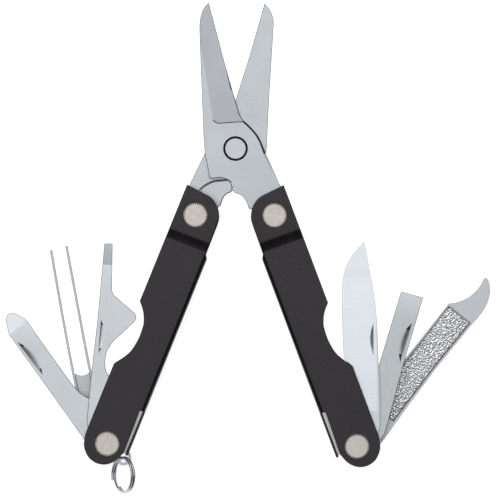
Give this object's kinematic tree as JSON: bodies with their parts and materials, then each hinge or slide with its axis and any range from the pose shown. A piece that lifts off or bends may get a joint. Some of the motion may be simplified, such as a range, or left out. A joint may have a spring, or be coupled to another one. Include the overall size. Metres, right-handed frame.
{
  "type": "folding multi tool",
  "caption": "Keyring folding multi tool: spring scissors between two channel handles with six fold-out tools and a split ring.",
  "frame": {"origin": "axis of the scissors' pivot, at the rear face of the pivot nut", "axes": "+Z out of the front face, +Y from the handles to the scissor tips, +X to the knife's side"},
  "size_m": [0.1082, 0.1097, 0.0112],
  "materials": {
    "black": "matt black coated sheet steel",
    "nickel": "warm nickel, fine stipple",
    "ground": "ground satin stainless steel",
    "polished": "bright satin stainless steel",
    "wire": "bright steel wire"
  },
  "bodies": {
    "scissors_front": {"front_blade": "ground", "pivot_screw": "polished", "pivot_nut": "polished"},
    "scissors_rear": {"rear_blade": "ground", "scissor_spring": "polished"},
    "left_handle_assembly": {"left_handle": "black", "bottle_opener_spring": "polished", "cross_driver_spring": "polished", "tweezers_spring": "polished", "left_top_rivet_post": "nickel", "left_top_rivet_cap": "nickel", "left_tool_rivet_post": "nickel", "left_tool_rivet_cap": "nickel", "left_top_spacer_front": "nickel", "left_top_spacer_rear": "nickel"},
    "bottle_opener": {"bottle_opener": "ground"},
    "cross_driver": {"cross_driver": "polished"},
    "tweezers": {"tweezers": "polished"},
    "right_handle_assembly": {"right_handle": "black", "knife_blade_spring": "polished", "flat_driver_spring": "polished", "nail_file_spring": "polished", "right_top_rivet_post": "nickel", "right_top_rivet_cap": "nickel", "right_tool_rivet_post": "nickel", "right_tool_rivet_cap": "nickel", "right_top_spacer_front": "nickel", "right_top_spacer_rear": "nickel", "right_tool_spacer": "nickel"},
    "knife_blade": {"knife_blade": "polished"},
    "flat_driver": {"flat_driver": "ground"},
    "nail_file": {"nail_file": "ground"},
    "key_ring_tab": {"key_ring_tab": "polished"},
    "split_ring": {"split_ring": "wire"}
  },
  "joints": [
    {"name": "scissors_close", "type": "hinge", "parent": "scissors_front", "child": "scissors_rear", "pos_m": [0, 0, 0.0015], "axis": [0, 0, 1], "range_deg": [0, 23.5], "stiffness_Nm_per_rad": 0.02, "springref_deg": -20.05},
    {"name": "right_handle_fold", "type": "hinge", "parent": "scissors_front", "child": "right_handle_assembly", "pos_m": [0.00871, -0.01495, 0.0015], "axis": [0, 0, 1], "range_deg": [0, 165]},
    {"name": "left_handle_fold", "type": "hinge", "parent": "scissors_rear", "child": "left_handle_assembly", "pos_m": [-0.00891, -0.01488, 0.0015], "axis": [0, 0, -1], "range_deg": [0, 165]},
    {"name": "knife_fold", "type": "hinge", "parent": "right_handle_assembly", "child": "knife_blade", "pos_m": [0.02704, -0.06628, 0.0015], "axis": [0, 0, 1], "range_deg": [-161.1, 18.9]},
    {"name": "flat_driver_fold", "type": "hinge", "parent": "right_handle_assembly", "child": "flat_driver", "pos_m": [0.02704, -0.06628, 0.0015], "axis": [0, 0, 1], "range_deg": [-144, 36]},
    {"name": "nail_file_fold", "type": "hinge", "parent": "right_handle_assembly", "child": "nail_file", "pos_m": [0.02704, -0.06628, 0.0015], "axis": [0, 0, 1], "range_deg": [-122.35, 57.65]},
    {"name": "opener_fold", "type": "hinge", "parent": "left_handle_assembly", "child": "bottle_opener", "pos_m": [-0.02853, -0.06573, 0.0015], "axis": [0, 0, -1], "range_deg": [-163.1, 16.9]},
    {"name": "tweezers_fold", "type": "hinge", "parent": "left_handle_assembly", "child": "tweezers", "pos_m": [-0.02853, -0.06573, 0.0015], "axis": [0, 0, -1], "range_deg": [-125, 33.3]},
    {"name": "cross_driver_fold", "type": "hinge", "parent": "left_handle_assembly", "child": "cross_driver", "pos_m": [-0.02853, -0.06573, 0.0015], "axis": [0, 0, -1], "range_deg": [-121.6, 58.4]},
    {"name": "key_tab_turn", "type": "hinge", "parent": "left_handle_assembly", "child": "key_ring_tab", "pos_m": [-0.02853, -0.06573, 0.0015], "axis": [0, 0, -1], "range_deg": [-4, 25]},
    {"name": "split_ring_swing", "type": "hinge", "parent": "key_ring_tab", "child": "split_ring", "pos_m": [-0.02498, -0.06903, 0.0015], "axis": [0, 0, -1], "range_deg": [-30, 3]}
  ]
}
